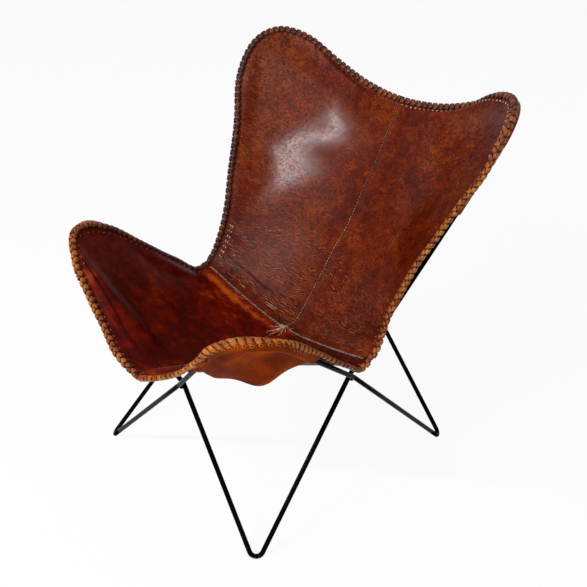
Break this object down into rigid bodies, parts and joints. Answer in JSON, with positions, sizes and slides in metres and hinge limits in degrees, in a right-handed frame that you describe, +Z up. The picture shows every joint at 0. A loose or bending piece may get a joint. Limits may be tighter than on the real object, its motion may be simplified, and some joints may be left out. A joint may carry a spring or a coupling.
{
  "type": "butterfly sling chair",
  "caption": "Low lounge chair: a laced leather sling whose corner pockets slip over the upright hoops of a welded frame of bent steel rod.",
  "frame": {"origin": "on the floor under the middle of the chair's bounding box", "axes": "+Z up; the sitter faces -Y; +X to the sitter's left"},
  "size_m": [0.7576, 0.7622, 0.8745],
  "materials": {
    "rod": "gloss black paint on steel rod",
    "weld": "black paint over weld metal, slightly uneven",
    "leather_face": "waxed red-brown leather, glossy, with fine creases and darker and lighter patches",
    "leather_pocket": "orange-tan leather, less glossy",
    "leather_lace": "golden-tan leather lacing, worn to a satin finish"
  },
  "bodies": {
    "root": {"rod_back_right": "rod", "rod_back_left": "rod", "rod_front_right": "rod", "rod_front_left": "rod", "butt_weld_front_right": "weld", "butt_weld_front_left": "weld", "butt_weld_back_right": "weld", "butt_weld_back_left": "weld", "crossing_weld_front": "weld", "crossing_weld_back": "weld", "crossing_weld_right": "weld", "crossing_weld_left": "weld", "panel_back_right": "leather_face", "panel_back_left": "leather_face", "panel_seat_right": "leather_face", "panel_seat_left": "leather_face", "pocket_back_right": "leather_pocket", "pocket_back_left": "leather_pocket", "pocket_front_right": "leather_pocket", "pocket_front_left": "leather_pocket", "lacing_back_right": "leather_lace", "lacing_back_left": "leather_lace", "lacing_front_right": "leather_lace", "lacing_front_left": "leather_lace"}
  },
  "joints": []
}
